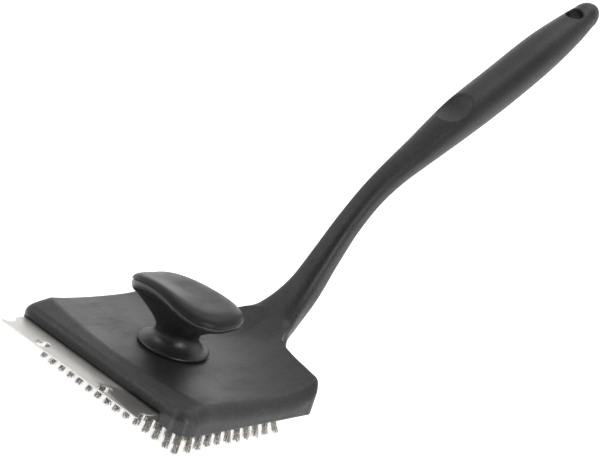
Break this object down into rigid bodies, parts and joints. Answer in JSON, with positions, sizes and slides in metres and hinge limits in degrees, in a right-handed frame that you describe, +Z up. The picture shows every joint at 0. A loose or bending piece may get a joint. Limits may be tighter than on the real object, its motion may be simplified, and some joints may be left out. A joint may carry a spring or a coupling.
{
  "type": "grill cleaning brush",
  "caption": "Wide-head grill brush: wire bristles, steel scraper blade, palm knob and a long swan-neck handle with a hanging eye.",
  "frame": {"origin": "middle of the brush's overall box in plan, on the surface that the bristle tips stand on", "axes": "+X across the head towards the end with the shorter blade overhang, +Y from the scraper blade towards the end of the handle, +Z up from the bristle tips"},
  "size_m": [0.1652, 0.4536, 0.2835],
  "materials": {
    "black_resin": "black moulded resin with a fine spark-eroded grain and a satin sheen",
    "satin_resin": "smoother satin black resin, slightly warm",
    "block_resin": "plain moulded black resin",
    "stainless_plate": "brushed stainless sheet, 1 mm",
    "stainless_wire": "crimped stainless spring wire",
    "zinc_steel": "zinc-plated steel",
    "brass": "turned brass"
  },
  "bodies": {
    "root": {"head_handle": "black_resin", "knob_body": "black_resin", "knob_cap": "satin_resin", "bristle_block": "block_resin", "scraper_blade": "stainless_plate", "knob_bolt": "zinc_steel", "knob_washer": "zinc_steel", "knob_insert": "brass", "bristle_row_01": "stainless_wire", "bristle_row_02": "stainless_wire", "bristle_row_03": "stainless_wire", "bristle_row_04": "stainless_wire", "bristle_row_05": "stainless_wire", "bristle_row_06": "stainless_wire", "bristle_row_07": "stainless_wire", "bristle_row_08": "stainless_wire", "bristle_row_09": "stainless_wire", "bristle_row_10": "stainless_wire", "bristle_row_11": "stainless_wire", "block_screw_1": "zinc_steel", "block_screw_2": "zinc_steel", "block_screw_3": "zinc_steel", "block_screw_4": "zinc_steel", "block_screw_5": "zinc_steel", "block_screw_6": "zinc_steel"}
  },
  "joints": []
}
